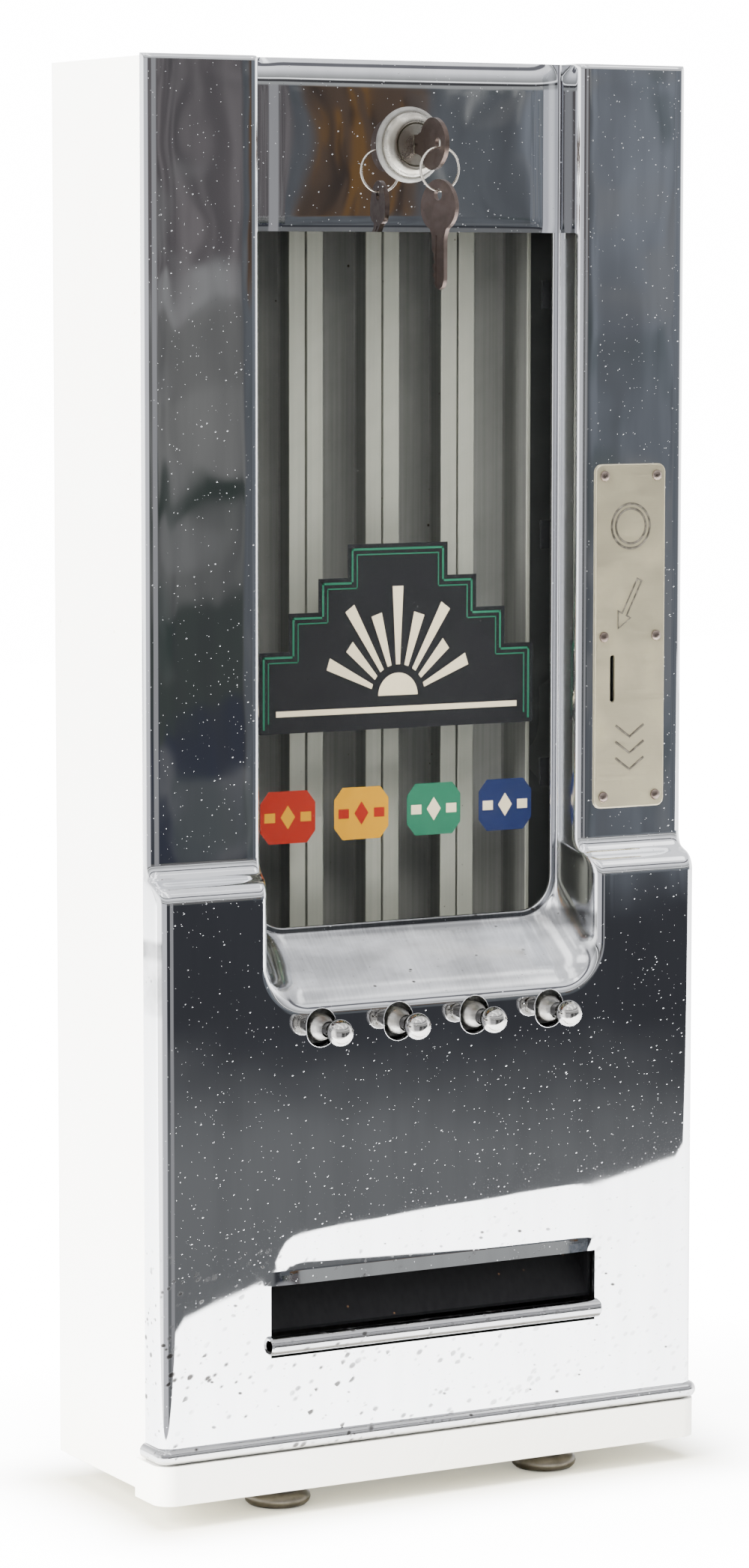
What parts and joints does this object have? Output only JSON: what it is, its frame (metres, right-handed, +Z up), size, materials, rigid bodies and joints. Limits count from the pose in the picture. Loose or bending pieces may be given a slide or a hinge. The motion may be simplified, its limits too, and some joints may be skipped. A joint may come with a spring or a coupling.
{
  "type": "gum vending machine",
  "caption": "Counter-top gum vending machine: enamelled case with gum columns and pull plungers, behind a tilting bright cover with window, coin plate, lock and delivery slot.",
  "frame": {"origin": "on the table, under the middle of the machine's outline", "axes": "+Z up; the front with the window faces -Y; +X to the right of a person at the front, where the coin plate is"},
  "size_m": [0.2622, 0.1234, 0.6],
  "materials": {
    "enamel": "gloss cream enamel",
    "cover_chrome": "worn bright chrome with small pits",
    "nickel": "satin nickel",
    "knob_chrome": "bright chrome",
    "plate_nickel": "brushed nickel plate",
    "tinplate": "dull tinned sheet",
    "grey_sheet": "dark sheet steel",
    "spring_steel": "bright spring wire",
    "bronzed_steel": "browned key metal",
    "grey_key": "aged key metal",
    "ring_steel": "bright ring wire",
    "clear_glass": "clear window glass",
    "dark_neck": "dark foot neck"
  },
  "bodies": {
    "case": {"case_box": "enamel", "base": "enamel", "foot_glides": "nickel", "foot_necks": "dark_neck", "column_1": "tinplate", "column_2": "tinplate", "column_3": "tinplate", "column_4": "tinplate", "magazine_plate": "grey_sheet", "vend_shelf": "tinplate", "plunger_guide": "tinplate", "spring_1": "spring_steel", "spring_2": "spring_steel", "spring_3": "spring_steel", "spring_4": "spring_steel", "delivery_chute": "tinplate", "coin_chute": "tinplate", "coin_box": "grey_sheet", "hinge_lugs": "tinplate", "hinge_rod": "tinplate", "latch_keeper": "tinplate"},
    "cover": {"front_shell": "cover_chrome", "window_glass": "clear_glass", "glass_clips": "tinplate", "coin_plate": "plate_nickel", "coin_rivets": "nickel", "lock_housing": "nickel", "lock_nut": "nickel"},
    "plug": {"lock_plug": "nickel", "lock_cam": "tinplate", "key_main": "bronzed_steel"},
    "ring": {"key_ring": "ring_steel"},
    "spare": {"spare_key": "grey_key"},
    "plunger_1": {"plunger_1": "knob_chrome", "ejector_1": "tinplate"},
    "plunger_2": {"plunger_2": "knob_chrome", "ejector_2": "tinplate"},
    "plunger_3": {"plunger_3": "knob_chrome", "ejector_3": "tinplate"},
    "plunger_4": {"plunger_4": "knob_chrome", "ejector_4": "tinplate"}
  },
  "joints": [
    {"name": "cover_tilt", "type": "hinge", "parent": "case", "child": "cover", "pos_m": [0, -0.03915, 0.0308], "axis": [1, 0, 0], "range_deg": [0, 75]},
    {"name": "plug_turn", "type": "hinge", "parent": "cover", "child": "plug", "pos_m": [0, -0.02175, 0.5654], "axis": [0, -1, 0], "range_deg": [0, 90]},
    {"name": "ring_swing", "type": "hinge", "parent": "plug", "child": "ring", "pos_m": [0, -0.04115, 0.564], "axis": [1, 0, 0], "range_deg": [-60, 12]},
    {"name": "spare_swing", "type": "hinge", "parent": "ring", "child": "spare", "pos_m": [0, -0.04115, 0.546], "axis": [1, 0, 0], "range_deg": [-60, 10]},
    {"name": "plunger_1_pull", "type": "slide", "parent": "case", "child": "plunger_1", "axis": [0, -1, 0], "range_m": [0, 0.024], "stiffness_N_per_m": 120, "springref_m": -0.006, "deforming": ["spring_1"]},
    {"name": "plunger_2_pull", "type": "slide", "parent": "case", "child": "plunger_2", "axis": [0, -1, 0], "range_m": [0, 0.024], "stiffness_N_per_m": 120, "springref_m": -0.006, "deforming": ["spring_2"]},
    {"name": "plunger_3_pull", "type": "slide", "parent": "case", "child": "plunger_3", "axis": [0, -1, 0], "range_m": [0, 0.024], "stiffness_N_per_m": 120, "springref_m": -0.006, "deforming": ["spring_3"]},
    {"name": "plunger_4_pull", "type": "slide", "parent": "case", "child": "plunger_4", "axis": [0, -1, 0], "range_m": [0, 0.024], "stiffness_N_per_m": 120, "springref_m": -0.006, "deforming": ["spring_4"]}
  ]
}
